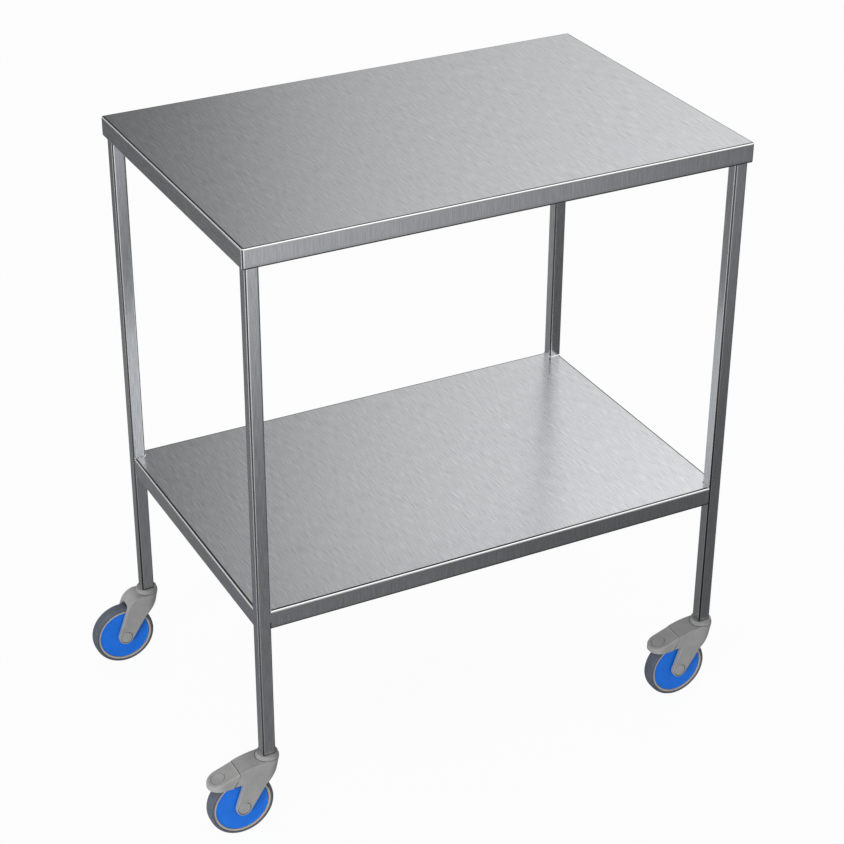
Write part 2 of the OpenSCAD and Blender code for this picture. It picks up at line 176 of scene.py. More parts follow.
floor_radius = 14
floor_white = 0.95
floor_mesh = bpy.data.meshes.new("floor")
floor_angles = np.radians(np.arange(0, 360, 5))
floor_points = floor_radius * np.stack([np.cos(floor_angles), np.sin(floor_angles), 0 * floor_angles], 1)
floor_mesh.from_pydata(floor_points.tolist(), [], [list(range(len(floor_points)))])
floor = bpy.data.objects.new("floor", floor_mesh)
bpy.context.scene.collection.objects.link(floor)

floor_paint, shade, surface = new_material("white_floor")
floor_mesh.materials.append(floor_paint)
shade.tree.nodes.remove(surface)
camera_ray, glossy_ray, clear_ray = light_paths(shade)
floor_x, floor_y, _ = shade.make("ShaderNodeTexCoord", out="Object").parts()
# in the metal the floor is dark grey at the trolley, a little paler in front of its left half and
# behind it, pale far in front, and bright on the left, where the legs' corners mirror it as light
# lines
front_pale = (0 - floor_y).smooth(1.0, 2.3) * (0 - floor_x).smooth(-2.6, 0.2)
near_pale = (0 - floor_y).smooth(-0.2, 0.1) * (0 - floor_x).smooth(-0.6, 0.1)
back_pale = floor_x.smooth(-1.2, -0.4) * floor_y.smooth(-0.3, 0.3)
far_pale = floor_x.smooth(-1.1, -0.3) * floor_y.smooth(0.3, 1.3)
left_back = (0 - floor_x - 0.55 * floor_y).smooth(0.58, 0.8) * floor_y.smooth(-0.3, 0.0)
left_front = (0 - floor_x).smooth(0.3, 0.6) * (0 - floor_y).smooth(0.0, 0.4)
near_grey = 0.12 + 0.6 * front_pale + 0.07 * near_pale + 0.06 * back_pale + 0.13 * far_pale
near_grey = near_grey + 0.8 * left_back + 0.6 * left_front
paint = shade.make("ShaderNodeBsdfDiffuse", None, {"Color": (0.9, 0.9, 0.9, 1)})
white = shade.make("ShaderNodeEmission", None, {"Color": (1, 1, 1, 1)})
grey = shade.make("ShaderNodeEmission", None, {"Color": (0.985, 0.995, 1.02, 1), "Strength": near_grey})
shown = shade.work("ADD", camera_ray, clear_ray, clamp=True) * floor_white
pale = shade.make("ShaderNodeMixShader", None, {0: shown, 1: paint, 2: white})
whole = shade.make("ShaderNodeMixShader", None, {0: glossy_ray, 1: pale, 2: grey})
shade.feed(shade.tree.nodes["Material Output"], {"Surface": whole})


def soft_lamp(name, place, aim, size, power):
    """A square soft box that points from its place at an aim; it isn't mirrored in the metal."""
    lamp_data = bpy.data.lights.new(name, "AREA")
    lamp_data.size = size
    lamp_data.energy = power
    lamp = bpy.data.objects.new(name, lamp_data)
    lamp.location = place
    toward = [a - b for a, b in zip(aim, place)]
    lamp.rotation_euler = Vector(toward).to_track_quat("-Z", "Y").to_euler()
    lamp.visible_glossy = False
    bpy.context.scene.collection.objects.link(lamp)


soft_lamp("left_soft_box", (-4.6, -2.6, 0.8), (0, 0, 0.25), 1.4, 145)


# Legs: four square stainless tubes, 20 mm on a side with 1.2 mm walls, brushed lengthwise.
# Each stands on its caster's collar and is welded under the top and in a corner of the shelf.
# The foot of each leg, on its front and back, just above the collar, is darkened by a narrow band of
# painted shade.
MM = 0.001
CORNERS = {"front_left": (-1, -1), "front_right": (1, -1), "back_left": (-1, 1), "back_right": (1, 1)}
tube_half = 10
tube_round = 3.2
tube_wall = 1.2
# the height of the band of painted shade at each leg's foot
foot_shade_height = 1.6


def grid_faces(rows, columns, closed_rows, closed_columns):
    """Four-sided faces over a grid of points; a closed direction joins its end to its start."""
    row = np.arange(rows if closed_rows else rows - 1)[:, None]
    column = np.arange(columns if closed_columns else columns - 1)[None, :]
    next_row = (row + 1) % rows
    next_column = (column + 1) % columns
    corners = [row * columns + column, row * columns + next_column,
               next_row * columns + next_column, next_row * columns + column]
    return np.stack(np.broadcast_arrays(*corners), -1).reshape(-1, 4).tolist()


def square_rings(half_x, half_y, corner, inset, steps=6, lead=0.5):
    """Points round a rectangle with rounded corners, one ring for each inset. The corner's radius
    is its own less the inset, down to none, and a point stands just before and after each round."""
    turn = np.concatenate([[0], np.linspace(0, 90, steps + 1), [90]])
    angle = np.radians(np.concatenate([turn + quarter for quarter in (0, 90, 180, 270)]))
    slide = np.tile(np.concatenate([[-lead], np.zeros(steps + 1), [lead]]), 4)
    side_x = np.repeat([1, -1, -1, 1], len(turn))
    side_y = np.repeat([1, 1, -1, -1], len(turn))
    inset = np.asarray(inset, float)[:, None]
    radius = np.maximum(corner - inset, 0)
    off = np.maximum(corner, inset)
    x = side_x * (half_x - off) + radius * np.cos(angle) - slide * np.sin(angle)
    y = side_y * (half_y - off) + radius * np.sin(angle) + slide * np.cos(angle)
    return np.stack([x, y], -1)


def tidy_mesh(piece):
    """Merges double points, turns the faces outwards, and smooths all but the sharp edges."""
    work = bmesh.new()
    work.from_mesh(piece.data)
    bmesh.ops.remove_doubles(work, verts=work.verts, dist=2e-6)
    bmesh.ops.dissolve_degenerate(work, edges=work.edges, dist=1e-6)
    loose = [edge for edge in work.edges if not edge.link_faces]
    bmesh.ops.delete(work, geom=loose, context="EDGES")
    bmesh.ops.recalc_face_normals(work, faces=work.faces)
    work.to_mesh(piece.data)
    work.free()
    piece.data.shade_smooth()
    piece.data.set_sharp_from_angle(angle=math.radians(40))


def add_mesh(name, points, faces):
    """An object at the origin with the given points, in millimetres, and faces."""
    mesh = bpy.data.meshes.new(name)
    mesh.from_pydata((np.asarray(points) * MM).tolist(), [], faces)
    piece = bpy.data.objects.new(name, mesh)
    bpy.context.scene.collection.objects.link(piece)
    tidy_mesh(piece)
    return piece


def note_rounds(piece, edge_reach):
    """Stores for the steel which way the surface faces, so that it can paint highlights and shade on its
    rounds, and how near the piece's lower edge is, where it paints shade: 1 at the edge, and 0 from
    edge_reach millimetres above it."""
    mesh = piece.data
    facing = np.empty(3 * len(mesh.loops))
    mesh.corner_normals.foreach_get("vector", facing)
    mesh.attributes.new("facing", "FLOAT_VECTOR", "CORNER").data.foreach_set("vector", facing)
    place = np.empty(3 * len(mesh.vertices))
    mesh.vertices.foreach_get("co", place)
    above = (place[2::3] - place[2::3].min()) / (edge_reach * MM)
    mesh.attributes.new("low_edge", "FLOAT", "POINT").data.foreach_set("value", np.clip(1 - above, 0, 1))


def fit(piece, material, body, slot, *nodes):
    """Paints a finished piece, fixes it to its body and hides the solids that it stands for."""
    piece.data.materials.clear()
    piece.data.materials.append(material)
    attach(piece, body)
    if nodes:
        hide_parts(*nodes)


def dress(nodes, material):
    """Gives solids that keep their shape a better material."""
    for node in nodes:
        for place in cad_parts[node].material_slots:
            place.material = material


def brushed_steel(name, upright, dark, light, roughness):
    """Stainless steel with a belt-brushed grain: noise squeezed across the grain and drawn out
    along it. On a tube the grain runs up and down. On a sheet it runs front to back, on down the
    folded front and back edges, and along the folded ends. Painted highlights brighten the rounds,
    and painted shade darkens the middle of a corner, the start of a fold and the lower edge of a
    long side. On a piece without note_rounds the steel is plain."""
    material, shade, surface = new_material(name)
    place = shade.make("ShaderNodeTexCoord", out="Object")
    x, y, z = place.parts()
    facing = shade.make("ShaderNodeAttribute", {"attribute_name": "facing"}, out="Vector")
    face_x, face_y, face_z = facing.parts()
    low_edge = shade.make("ShaderNodeAttribute", {"attribute_name": "low_edge"}, out="Fac")
    on_end = shade.work("ABSOLUTE", face_x)
    if upright:
        across = x + y
        along = z
    else:
        end = shade.work("GREATER_THAN", on_end, 0.7)
        across = x + end * (z - x)
        along = y + (1 - end) * z
    # the broad streaks are read from another level of the noise than the fine grain
    grain = shade.make("ShaderNodeCombineXYZ", None, {0: across * 1000, 1: along * 34})
    streak = shade.make("ShaderNodeCombineXYZ", None, {0: across * 160, 1: along * 8, 2: 7})
    fine = shade.make("ShaderNodeTexNoise", None, {
        "Vector": grain, "Scale": 1, "Detail": 2, "Roughness": 0.6})
    broad = shade.make("ShaderNodeTexNoise", None, {"Vector": streak, "Scale": 1, "Detail": 2})
    cloud = shade.make("ShaderNodeTexNoise", None, {"Vector": place, "Scale": 7, "Detail": 2})
    tone = 0.5 + (fine - 0.5) * 2.7 + (broad - 0.5) * 0.2
    # painted highlights on a corner's sides and on the rest of each fold, and painted shade as a dark line
    # in the middle of a corner and at the start of each fold
    corner_turn = 2 * shade.work("ABSOLUTE", face_x * face_y)
    fold_turn = 1 - face_z
    fold_start_shade = fold_turn.smooth(0.0005, 0.003) * (1 - fold_turn.smooth(0.2, 0.25))
    fold_highlight = fold_turn.smooth(0.2, 0.26) * (1 - fold_turn.smooth(0.85, 0.95))
    # painted shade along the lowest millimetres of a piece, but not on faces that look left or right
    low_edge_shade = low_edge.smooth(0.2, 0.35) * (1 - on_end.smooth(0.5, 0.8))
    painted_highlight = corner_turn.smooth(0.2, 0.35) + fold_highlight
    painted_shade = corner_turn.smooth(0.55, 0.7) + fold_start_shade + low_edge_shade
    # the painted highlights are near white and the painted shade is near black
    colour = painted_highlight.blend(tone.blend(dark, light), (0.97, 0.97, 0.96, 1))
    colour = painted_shade.blend(colour, (0.08, 0.08, 0.08, 1))
    relief = shade.make("ShaderNodeBump", None, {"Strength": 0.03, "Distance": 0.0002, "Height": fine})
    shade.feed(surface, {"Base Color": colour, "Metallic": 1.0,
        "Roughness": roughness + (broad - 0.5) * 0.03 + (cloud - 0.5) * 0.03 + (fine - 0.5) * 0.05,
        "Normal": relief})
    return material


tube_steel = brushed_steel("brushed_tube", True, (0.55, 0.56, 0.577, 1), (0.763, 0.78, 0.80, 1), 0.24)
for corner in CORNERS:
    low, high = [np.array(place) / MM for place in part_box("leg_" + corner)]
    rings = square_rings(tube_half, tube_half, tube_round, [0, 0, 0, tube_wall, tube_wall])
    heights = np.array([low[2], low[2] + foot_shade_height, high[2], high[2], low[2]])
    centre = (low + high) / 2
    points = np.dstack([rings + centre[:2], np.broadcast_to(heights[:, None], rings.shape[:2])])
    leg = add_mesh("tube_leg_" + corner, points.reshape(-1, 3), grid_faces(*rings.shape[:2], True, True))
    note_rounds(leg, foot_shade_height)
    fit(leg, tube_steel, "frame", "tube_steel", "leg_" + corner)


# Lower shelf: one stainless sheet folded down and in again on four sides, notched for the legs
# and welded to them with a thin ground bead where its face meets each tube.
sheet = 1.2
shelf_bend = 4
low_bend = 2
lip = 12
notch = 19
edge_shade = 1.6 * low_bend


def soften(corners, radii, steps=5):
    """Rounds a polygon's corners. Near a corner the line follows a quadratic curve that leaves
    each side at the corner's radius, with one point a little beyond each end of the curve."""
    corners = np.asarray(corners, float)
    before = np.roll(corners, 1, 0) - corners
    after = np.roll(corners, -1, 0) - corners
    before_length = np.linalg.norm(before, axis=1)
    after_length = np.linalg.norm(after, axis=1)
    cut = np.minimum(radii, 0.4 * np.minimum(before_length, after_length))[:, None]
    start = cut * before / before_length[:, None]
    end = cut * after / after_length[:, None]
    t = np.linspace(0, 1, steps + 1)[None, :, None]
    curve = start[:, None] * (1 - t) ** 2 + end[:, None] * t ** 2
    reach = np.concatenate([1.2 * start[:, None], curve, 1.2 * end[:, None]], 1)
    points = (corners[:, None] + reach).reshape(-1, 2)
    fresh = np.linalg.norm(points - np.roll(points, 1, 0), axis=1) > 1e-5
    return points[fresh]


def folded_edge(depth, reach, bend):
    """The section of a folded edge as distances in from the edge and heights from the face: out
    along the face, down, in along the lip, and back along the sheet's inner side."""
    outside = [(reach, 0), (0, 0), (0, -depth), (lip, -depth)]
    inside = [(lip, sheet - depth), (sheet, sheet - depth), (sheet, -sheet), (reach, -sheet)]
    radii = [0, bend, low_bend, 0, 0, low_bend - sheet, bend - sheet, 0]
    return soften(outside + inside, radii, 6)


sheet_steel = brushed_steel("brushed_sheet", False, (0.57, 0.58, 0.597, 1), (0.783, 0.80, 0.82, 1), 0.24)
low, high = [np.array(place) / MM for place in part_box("lower_shelf")]
middle = (low + high) / 2
half = (high - low) / 2
section = folded_edge(high[2] - low[2], notch, shelf_bend)
count = len(section)
loop = list(range(count))
points = []
faces = []
for turn in range(4):
    # a strip of folded edge between two legs, seen from the shelf's middle towards one side
    long_half, out_half = (half[0], half[1]) if turn % 2 == 0 else (half[1], half[0])
    along = np.array([-1, 1])[:, None] * (long_half - notch)
    away = out_half - section[None, :, 0]
    side = (-1, 1)[turn // 2]
    along, away = np.broadcast_arrays(along, side * away)
    x, y = (along, away) if turn % 2 == 0 else (away, along)
    z = np.broadcast_to(high[2] + section[:, 1], x.shape)
    strip = np.stack([x + middle[0], y + middle[1], z], -1)
    first = sum(len(part) for part in points)
    made = grid_faces(2, count, False, True)[:-1] + [loop, [count + number for number in loop]]
    faces += [[first + number for number in face] for face in made]
    points.append(strip.reshape(-1, 3))
# the flat faces between the strips, above and below
plate = middle[:2] + np.array([[-1, -1], [1, -1], [1, 1], [-1, 1]]) * (half[:2] - notch)
for level in (high[2], high[2] - sheet):
    first = sum(len(part) for part in points)
    points.append(np.column_stack([plate, np.full(4, level)]))
    faces.append([first, first + 1, first + 2, first + 3])
shelf = add_mesh("folded_shelf", np.concatenate(points), faces)
note_rounds(shelf, edge_shade)
fit(shelf, sheet_steel, "frame", "sheet_steel", "lower_shelf")


def swivel_place(corner):
    """Where the middle line of a leg, which its caster swivels about, meets the floor."""
    leg_low, leg_high = [np.array(place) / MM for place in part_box("leg_" + corner)]
    return np.append(((leg_low + leg_high) / 2)[:2], 0)


bead_width = 1.6
bead_height = 1.1
bead_root = 0.4
bead_sink = 0.2
bead_margin = 0.3
bead_bend = np.radians(np.linspace(0, 90, 5))
# a quarter round that runs from the shelf's face up to the tube's side, and a little into both
inset = np.concatenate([-bead_width * np.cos(bead_bend), [bead_root, bead_root]])
rise = np.concatenate([bead_height * np.sin(bead_bend), [bead_height, -bead_sink]])
for corner in CORNERS:
    rings = square_rings(tube_half, tube_half, tube_round, inset) + swivel_place(corner)[:2]
    rings = np.clip(rings, low[:2] + bead_margin, high[:2] - bead_margin)
    tall = np.broadcast_to((high[2] + rise)[:, None], rings.shape[:2])
    points = np.dstack([rings, tall])
    bead = add_mesh("shelf_weld_" + corner, points.reshape(-1, 3), grid_faces(*rings.shape[:2], True, True))
    fit(bead, sheet_steel, "frame", "sheet_steel")


# Top: one stainless sheet folded like the shelf, all the way round, over the legs' heads. Its
# corners are closed, and the lip under its edge is cut away at the corners for the legs.
top_bend = 3.2
edge_band = 40
corner_room = 29


def carve(piece, cutters):
    """Cuts other meshes out of a piece, and removes them."""
    for cutter in cutters:
        tool = piece.modifiers.new("cut", "BOOLEAN")
        tool.operation = "DIFFERENCE"
        tool.solver = "MANIFOLD"
        tool.object = cutter
    bpy.context.view_layer.update()
    carved = piece.evaluated_get(bpy.context.evaluated_depsgraph_get())
    mesh = bpy.data.meshes.new_from_object(carved)
    piece.modifiers.clear()
    piece.data = mesh
    for cutter in cutters:
        bpy.data.objects.remove(cutter)
    tidy_mesh(piece)


def prism(name, outline, low_z, high_z):
    """An upright block over an outline."""
    outline = np.asarray(outline, float)
    count = len(outline)
    points = np.concatenate([np.column_stack([outline, np.full(count, z)]) for z in (low_z, high_z)])
    faces = grid_faces(2, count, False, True)
    return add_mesh(name, points, faces + [list(range(count)), list(range(count, 2 * count))])


low, high = [np.array(place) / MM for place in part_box("top_tray")]
middle = (low + high) / 2
half = (high - low) / 2
section = folded_edge(high[2] - low[2], edge_band, top_bend)
rings = square_rings(half[0], half[1], top_bend, section[:, 0])
count = rings.shape[1]
tall = np.broadcast_to((high[2] + section[:, 1])[:, None], rings.shape[:2])
points = np.dstack([rings + middle[:2], tall]).reshape(-1, 3)
faces = grid_faces(len(section), count, False, True)
faces += [list(range(count)), list(range(len(points) - count, len(points)))]
top = add_mesh("folded_top", points, faces)
cutters = []
for i, j in CORNERS.values():
    near = middle[:2] + np.array([i, j]) * (half[:2] - top_bend)
    far = near - np.array([i, j]) * corner_room
    room = [near, (far[0], near[1]), far, (near[0], far[1])]
    cutters.append(prism("leg_room", room, low[2] - 2, low[2] + 2 * sheet))
carve(top, cutters)
note_rounds(top, edge_shade)
fit(top, sheet_steel, "frame", "sheet_steel", "top_tray")

dress(["top_stiffeners", "shelf_stiffeners"], sheet_steel)


# Leg plugs and stems: a black plastic plug is driven into the foot of each leg and grips the
# caster's plated steel stem, whose head turns inside the fork.
def moulded(name, dark, light, roughness, texture):
    """Injection-moulded plastic: two near tones in soft clouds, a fine pebbled skin whose depth
    is given in micrometres, and a gloss that varies a little over the surface."""
    material, shade, surface = new_material(name)
    place = shade.make("ShaderNodeTexCoord", out="Object")
    cloud = shade.make("ShaderNodeTexNoise", None, {"Vector": place, "Scale": 60, "Detail": 3})
    speck = shade.make("ShaderNodeTexNoise", None, {"Vector": place, "Scale": 900, "Detail": 3})
    skin = shade.make("ShaderNodeTexNoise", None, {"Vector": place, "Scale": 2600, "Detail": 2})
    tone = 0.5 + (cloud - 0.5) * 1.6 + (speck - 0.5) * 0.8
    relief = shade.make("ShaderNodeBump", None, {
        "Strength": 0.5, "Distance": texture * 1e-6, "Height": skin})
    shade.feed(surface, {"Base Color": tone.blend(dark, light),
        "Roughness": roughness + (cloud - 0.5) * 0.16 + (speck - 0.5) * 0.1, "Normal": relief})
    return material


def plated(name, dark, light, roughness):
    """Plated or ground steel: nearly a mirror, with faint turning marks and duller patches."""
    material, shade, surface = new_material(name)
    place = shade.make("ShaderNodeTexCoord", out="Object")
    patch = shade.make("ShaderNodeTexNoise", None, {"Vector": place, "Scale": 160, "Detail": 4})
    mark = shade.make("ShaderNodeTexNoise", None, {"Vector": place, "Scale": 1500, "Detail": 2})
    relief = shade.make("ShaderNodeBump", None, {"Strength": 0.2, "Distance": 1e-5, "Height": mark})
    shade.feed(surface, {"Base Color": patch.blend(dark, light), "Metallic": 1.0,
        "Roughness": roughness + (patch - 0.5) * 0.2 + (mark - 0.5) * 0.1, "Normal": relief})
    return material


plug_plastic = moulded("black_plug_plastic", (0.035, 0.035, 0.035, 1), (0.065, 0.065, 0.065, 1), 0.5, 12)
plated_steel = plated("plated_steel", (0.62, 0.62, 0.63, 1), (0.76, 0.76, 0.77, 1), 0.2)
dress(["leg_plugs"], plug_plastic)
dress(["stems"], plated_steel)


# Collars: a grey plastic ring between each leg and its caster, wide below and stepped in above.
# It is moulded, slips over the stem and hides the joint of tube and caster.
collar_wide = 17.4
collar_narrow = 15.9
collar_bore = 5


def turned(profile, centre, upright, closed=True, count=96):
    """A round shape: each profile point, a radius and a distance along the axis, goes round the
    axis in a circle. The axis is upright, or else it lies along Y. centre is on the axis."""
    profile = np.asarray(profile, float)
    angle = np.radians(np.arange(count) * 360 / count)
    radius, along = profile[:, :1], np.broadcast_to(profile[:, 1:], (len(profile), count))
    flat = [radius * np.cos(angle), radius * np.sin(angle)]
    parts = [flat[0], flat[1], along] if upright else [flat[0], along, flat[1]]
    points = np.stack(parts, -1).reshape(-1, 3) + np.asarray(centre)
    return points, grid_faces(len(profile), count, closed, True)


collar_plastic = moulded("grey_collar_plastic", (0.255, 0.255, 0.255, 1), (0.335, 0.335, 0.33, 1),
                         0.38, 6)
collar_foot, collar_head = [place[2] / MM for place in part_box("collar_front_left")]
collar_high = collar_head - collar_foot
step_foot = collar_foot + 0.3 * collar_high
step_head = collar_foot + 0.55 * collar_high
collar_profile = soften([
    (collar_bore, collar_foot), (collar_wide, collar_foot), (collar_wide, step_foot),
    (collar_narrow, step_head), (collar_narrow, collar_head), (collar_bore, collar_head)],
    [0, 0.6, 0.6, 0.6, 1.0, 0])
for corner in CORNERS:
    points, faces = turned(collar_profile, swivel_place(corner), True)
    collar = add_mesh("collar_moulding_" + corner, points, faces)
    fit(collar, collar_plastic, "frame", "collar_plastic", "collar_" + corner)


# Forks: one grey plastic moulding each, two legs under a rounded hood, that swivels on the stem.
# The two on the near long side have a flat crown, which their brake pedal carries on from.
braked = ("front_left", "front_right")
# in a side view x is the distance in front of the swivel axis, and z the height above the floor
trail = 45
wheel_radius = 50
seat = 118.8
fork_half = 18.4
gap_half = 11.45
foot_radius = 12
edge_round = 0.9
face_ring = 0.25
under_round = 4
front_slope = math.radians(12.5)
under_slope = math.radians(38)
foot_angle = -33.7
leg_slope = -math.radians(foot_angle)
leg_top = 82
front_reach = 24
front_axis = -1.3
axle_at = np.array([-trail, wheel_radius])
# a pedal and its fork part along an arc about pedal_middle
pedal_middle = np.array([-39.9 - trail, 2 * wheel_radius + 19.1])
pedal_pivot = np.array([-17 - trail, 2 * wheel_radius - 4])
gap_radius = 36.7
skirt = 92
seat_edge = 0.6
crown_middle = (-4.6, -21.4)
crown_radius = 142
crown_end = -2.1
hood_radius = 26.5
hood_middle = np.array([31 - trail, seat - hood_radius])
ear_radius = 4
ear_out = 15.5


def arc(centre, radius, start, end, steps):
    """Points on a circle from one angle to another, in degrees."""
    angle = np.radians(np.linspace(start, end, steps))
    return np.asarray(centre) + radius * np.stack([np.cos(angle), np.sin(angle)], 1)


def front_line():
    """The side view of a fork's front, from its seat down, in under the hood and down the leg,
    with close points near its upper end, where its edge is rounded."""
    ease = 1 - np.cos(np.radians(np.linspace(0, 90, 6)))
    heights = seat - seat_edge - edge_round * ease
    leg_foot = axle_at + foot_radius * np.array([math.cos(leg_slope), -math.sin(leg_slope)])
    leg_head = leg_foot + np.array([math.tan(leg_slope), 1]) * (leg_top - leg_foot[1])
    front = np.column_stack([np.full(len(heights), float(front_reach)), heights])
    away = np.linspace(front_reach - leg_head[0], 0, 22)[:, None]
    return front, leg_head + away * [1, math.tan(under_slope)]


def fork_slab(name, outline, half_low, half_high, leaning, place):
    """A slab with a side view given by an outline, between two distances from the middle plane.
    Near its faces the outline draws in along a quarter circle, so its edges are rounded. A leaning
    one is also cut by a round front: no point is further forward than a cylinder about an axis
    that leans back with the front. The two run into each other along a smooth minimum, and the
    front is rounded towards its upper edge too."""
    outline = np.asarray(outline, float)
    ahead = np.roll(outline, -1, 0)
    sides = ahead - outline
    sides /= np.linalg.norm(sides, axis=1)[:, None]
    after = np.column_stack([sides[:, 1], -sides[:, 0]])
    before = np.roll(after, 1, 0)
    outward = (before + after) / (1 + np.sum(before * after, 1))[:, None]
    area = np.sum(outline[:, 0] * ahead[:, 1] - ahead[:, 0] * outline[:, 1])
    outward *= math.copysign(1, area)
    middle = (half_low + half_high) / 2
    reach = (half_high - half_low) / 2
    if leaning:
        y = reach * np.sin(np.radians(np.linspace(-90, 90, 41)))
    else:
        ends = reach - edge_round + edge_round * np.sin(np.radians(np.linspace(0, 90, 5)))
        y = np.concatenate([-ends[::-1], ends])
    past = np.clip((np.abs(y) - reach + edge_round) / edge_round, 0, 1)
    inset = edge_round * (1 - np.sqrt(1 - past ** 2))
    y = np.concatenate([y[:1], y, y[-1:]])
    inset = np.concatenate([[edge_round + face_ring], inset, [edge_round + face_ring]])
    x = outline[:, 0] - outward[:, 0] * inset[:, None]
    z = outline[:, 1] - outward[:, 1] * inset[:, None]
    if leaning:
        axis = front_axis + (z - seat) * math.tan(front_slope)
        bulge = np.sqrt(np.maximum(fork_half ** 2 - y ** 2, 0))[:, None] / math.cos(front_slope)
        rounded = np.clip((z - seat + edge_round) / edge_round, 0, 1)
        shy = edge_round * (1 - np.sqrt(1 - rounded ** 2))
        limit = axis + bulge - shy
        share = np.clip(0.5 + (limit - x) / (2 * under_round), 0, 1)
        x = limit + (x - limit) * share - under_round * share * (1 - share)
    points = np.stack([x, np.broadcast_to(y[:, None] + middle, x.shape), z], -1)
    rows, count = x.shape
    faces = grid_faces(rows, count, False, True)
    faces += [list(range(count)), list(range((rows - 1) * count, rows * count))]
    return add_mesh(name, points.reshape(-1, 3) + place, faces)


def braked_outline():
    """From the left of the round foot up the leg, out along the skirt, up the pedal's arc, along
    the flat crown to the seat, down the front and back round the foot."""
    skirt_end = np.array([1.3 - trail, skirt])
    toward = skirt_end - axle_at
    lean = math.atan2(toward[1], toward[0]) + math.acos(foot_radius / np.linalg.norm(toward))
    front, inner = front_line()
    gap_arc = arc(pedal_middle, gap_radius, -47.6, -13.0, 16)
    # the crown's second point makes way for the rounded corner at its first
    crown = np.delete(arc(crown_middle, crown_radius, 108.26, 89.0, 22), 1, 0)
    corners = np.concatenate([
        [skirt_end], gap_arc, crown, [(crown_end, seat), (front_reach, seat)],
        front, inner, arc(axle_at, foot_radius, foot_angle, math.degrees(lean) - 360, 40)])
    radii = np.zeros(len(corners))
    radii[0] = 2.0
    radii[1] = 1.2
    radii[1 + len(gap_arc)] = 1.6
    return soften(corners, radii)


def free_outline():
    """From the left of the round foot up to the round hood, over it to the seat, down the front
    and back round the foot."""
    along = hood_middle - axle_at
    lean = math.degrees(math.atan2(along[1], along[0])) + 90
    lean += math.degrees(math.asin((hood_radius - foot_radius) / np.linalg.norm(along)))
    front, inner = front_line()
    return np.concatenate([
        arc(hood_middle, hood_radius, lean, 90, 30), [(front_reach, seat)], front, inner,
        arc(axle_at, foot_radius, foot_angle, lean - 360, 40)])


def mirrored(half_profile):
    """A closed profile from the half of it on one side of the wheel's middle plane."""
    half_profile = np.asarray(half_profile, float)
    return np.concatenate([half_profile, half_profile[::-1] * [1, -1]])


def axle_place(corner):
    """The middle of a caster's axle."""
    return swivel_place(corner) + [-trail, 0, wheel_radius]


housing_plastic = moulded("grey_fork_plastic", (0.30, 0.30, 0.30, 1), (0.37, 0.37, 0.365, 1), 0.42, 10)
# what is cut out of a fork: the well for the wheel, the axle's bore with room for its caps, and the
# room above the seat with the stem's hole below it; their ends stand clear of the fork
well_radius = 55
well_round = 6
cap_room = 10.3
cap_floor = 16
axle_bore = 4.05
collar_room = 18.5
stem_bore = 8.5
hair = 0.01
well_edge = arc((well_radius - well_round, gap_half - well_round), well_round, 90, 0, 8)
well_profile = mirrored(np.concatenate([[(0, gap_half)], well_edge]))
bore_profile = mirrored([(0, 20), (cap_room, 20), (cap_room, cap_floor), (axle_bore, cap_floor)])
pocket_profile = [(0, 135), (collar_room, 135), (collar_room, seat + hair), (stem_bore, seat + hair),
                  (stem_bore, 100), (0, 100)]
ear_outline = np.concatenate([
    arc(pedal_pivot, ear_radius, 90, 270, 16),
    [pedal_pivot + [2.2 * ear_radius, -ear_radius], pedal_pivot + [2.2 * ear_radius, ear_radius]]])
for corner in CORNERS:
    place = swivel_place(corner)
    outline = braked_outline() if corner in braked else free_outline()
    fork = fork_slab("fork_moulding_" + corner, outline, -fork_half, fork_half, True, place)
    cutters = [add_mesh("well", *turned(well_profile, axle_place(corner), False, False)),
               add_mesh("bore", *turned(bore_profile, axle_place(corner), False, False, 64)),
               add_mesh("pocket", *turned(pocket_profile, place, True, False, 128))]
    carve(fork, cutters)
    fit(fork, housing_plastic, f"caster_{corner}", "housing_plastic", "fork_" + corner)
    if corner in braked:
        for side_name, side in (("near", -1), ("far", 1)):
            ends = sorted([side * (gap_half + hair), side * ear_out])
            ear = fork_slab(f"pedal_ear_{corner}_{side_name}", ear_outline, *ends, False, place)
            fit(ear, housing_plastic, f"caster_{corner}", "housing_plastic")

bushing_plastic = moulded("white_bushing_plastic", (0.70, 0.70, 0.68, 1), (0.80, 0.80, 0.78, 1), 0.35, 6)
dress(["bushing_" + corner for corner in CORNERS], bushing_plastic)


# Axles: a plated steel pin through each fork, hidden by a round plastic cap at both ends, and two
# short steel tubes on it that keep the wheel in the middle.
cap_radius = 9.4
cap_round = 0.8
cap_sink = 0.2
cap_depth = 2.4
dome_radius = 7.9
dome_curve = 0.0028


def both_sides(profile, centre, closed, count=96):
    """A turned shape on one side of the wheel's middle plane with its mirror image on the other."""
    points, faces = turned(profile, (0, 0, 0), False, closed, count)
    mirror_faces = [[number + len(points) for number in face] for face in faces]
    return np.concatenate([points, points * [1, -1, 1]]) + centre, faces + mirror_faces


cap_plastic = moulded("grey_cap_plastic", (0.31, 0.31, 0.31, 1), (0.39, 0.39, 0.385, 1), 0.36, 5)
dress([name + corner for corner in CORNERS for name in ("axle_", "sleeves_")], plated_steel)
# the cap has a round rim and a very low dome, a parabola
dome = np.linspace(dome_radius, 0, 4)
cap_edge = (cap_radius - cap_round, fork_half - cap_sink - cap_round)
cap_profile = np.concatenate([
    [(0, fork_half - cap_depth), (cap_radius, fork_half - cap_depth)],
    arc(cap_edge, cap_round, 0, 90, 6), np.column_stack([dome, fork_half - dome_curve * dome ** 2])])
for corner in CORNERS:
    caps = add_mesh("axle_caps_" + corner, *both_sides(cap_profile, axle_place(corner), False))
    fit(caps, cap_plastic, f"caster_{corner}", "housing_plastic", "caps_" + corner)


